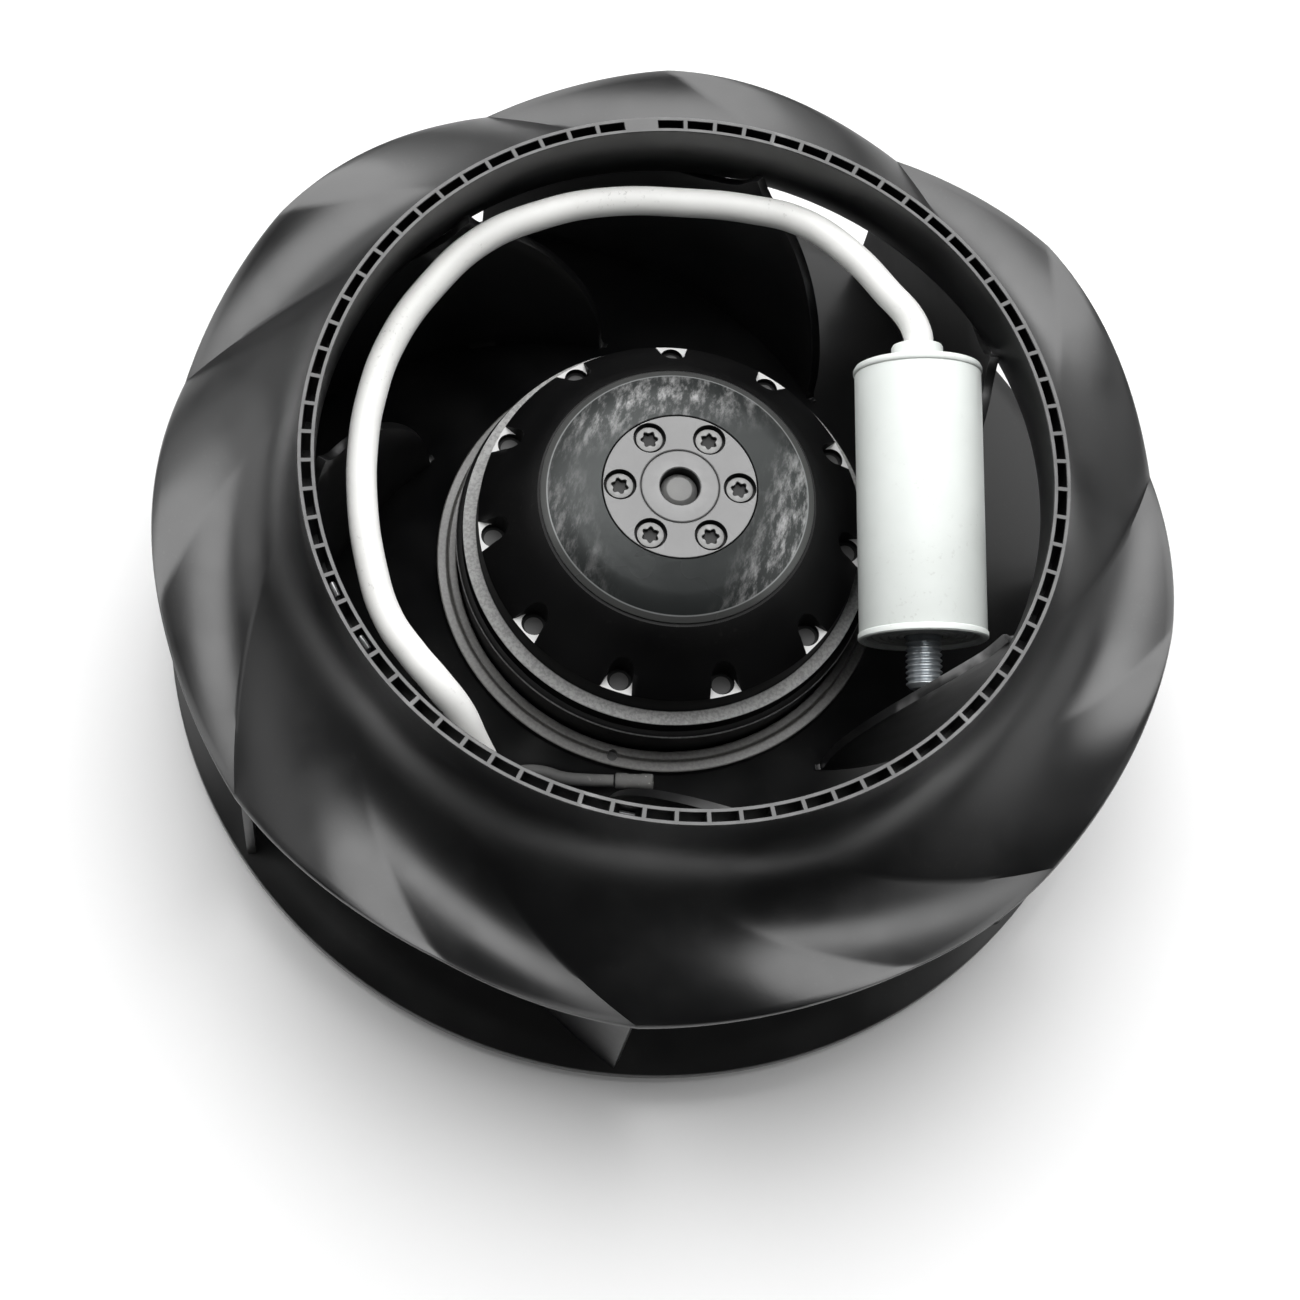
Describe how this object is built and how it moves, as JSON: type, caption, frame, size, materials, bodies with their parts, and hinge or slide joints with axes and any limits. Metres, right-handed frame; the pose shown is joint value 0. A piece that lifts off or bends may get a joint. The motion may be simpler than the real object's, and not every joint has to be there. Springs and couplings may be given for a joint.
{
  "type": "centrifugal fan",
  "caption": "Backward-curved centrifugal fan on an external-rotor motor, with a slotted inlet collar and its run capacitor and cable lying in the inlet.",
  "frame": {"origin": "on the fan's axis, in the motor flange's mounting face", "axes": "+Z along the fan's axis, from the mounting face towards the inlet collar"},
  "size_m": [0.225, 0.2249, 0.0966],
  "materials": {
    "black_plastic": "satin",
    "clip_steel": "bright",
    "black_paint": "satin",
    "grey_metal": "satin",
    "screw_steel": "satin",
    "label_foil": "gloss",
    "bright_steel": "ground",
    "lamination": "matte",
    "cast_metal": "cast",
    "copper_winding": "enamelled",
    "black_rubber": "matte",
    "white_plastic": "satin",
    "dark_resin": "matte",
    "film": "gloss",
    "zinc": "zinc plated",
    "white_jacket": "matte"
  },
  "bodies": {
    "stator": {"stator_flange": "cast_metal", "supply_cable_grommet": "black_rubber", "stator_core": "lamination", "winding_head_upper": "copper_winding", "winding_head_lower": "copper_winding", "thermal_protector": "dark_resin", "preload_wave_spring": "bright_steel", "rear_cap": "cast_metal", "upper_bearing_outer_ring": "bright_steel", "lower_bearing_outer_ring": "bright_steel"},
    "rotor": {"impeller_shroud": "black_plastic", "impeller_disc": "black_plastic", "blade_1": "black_plastic", "blade_2": "black_plastic", "blade_3": "black_plastic", "blade_4": "black_plastic", "blade_5": "black_plastic", "blade_6": "black_plastic", "blade_7": "black_plastic", "balance_clip_1": "clip_steel", "balance_clip_2": "clip_steel", "balance_clip_3": "clip_steel", "rotor_cup": "black_paint", "rotor_hub_plate": "grey_metal", "rotor_screw_1": "screw_steel", "rotor_screw_2": "screw_steel", "rotor_screw_3": "screw_steel", "rotor_screw_4": "screw_steel", "rotor_screw_5": "screw_steel", "rotor_screw_6": "screw_steel", "rating_label": "label_foil", "rotor_shaft": "bright_steel", "rotor_core": "lamination", "shaft_circlip": "bright_steel", "upper_bearing_inner_ring": "bright_steel", "lower_bearing_inner_ring": "bright_steel"},
    "upper_cage": {"upper_bearing_ball_cage": "bright_steel"},
    "lower_cage": {"lower_bearing_ball_cage": "bright_steel"},
    "capacitor": {"capacitor_can": "white_plastic", "capacitor_base": "dark_resin", "capacitor_stud": "zinc", "capacitor_film_roll": "film", "capacitor_cable_collar": "white_plastic", "capacitor_cable": "white_jacket", "capacitor_lead_1": "black_rubber", "capacitor_lead_2": "black_rubber", "lead_sleeve_1": "black_rubber", "lead_sleeve_2": "black_rubber"}
  },
  "joints": [
    {"name": "rotor_spin", "type": "hinge", "parent": "stator", "child": "rotor", "pos_m": [0, 0, 0.04], "axis": [0, 0, 1], "continuous": true},
    {"name": "upper_cage_spin", "type": "hinge", "parent": "stator", "child": "upper_cage", "pos_m": [0, 0, 0.0615], "axis": [0, 0, 1], "continuous": true},
    {"name": "lower_cage_spin", "type": "hinge", "parent": "stator", "child": "lower_cage", "pos_m": [0, 0, 0.0142], "axis": [0, 0, 1], "continuous": true},
    {"name": "capacitor_lift", "type": "slide", "parent": "rotor", "child": "capacitor", "axis": [0, 0, 1], "range_m": [0, 0.12]}
  ],
  "couplings": [
    {"joint": "upper_cage_spin", "follows": "rotor_spin", "ratio": 0.4183},
    {"joint": "lower_cage_spin", "follows": "rotor_spin", "ratio": 0.4183}
  ]
}
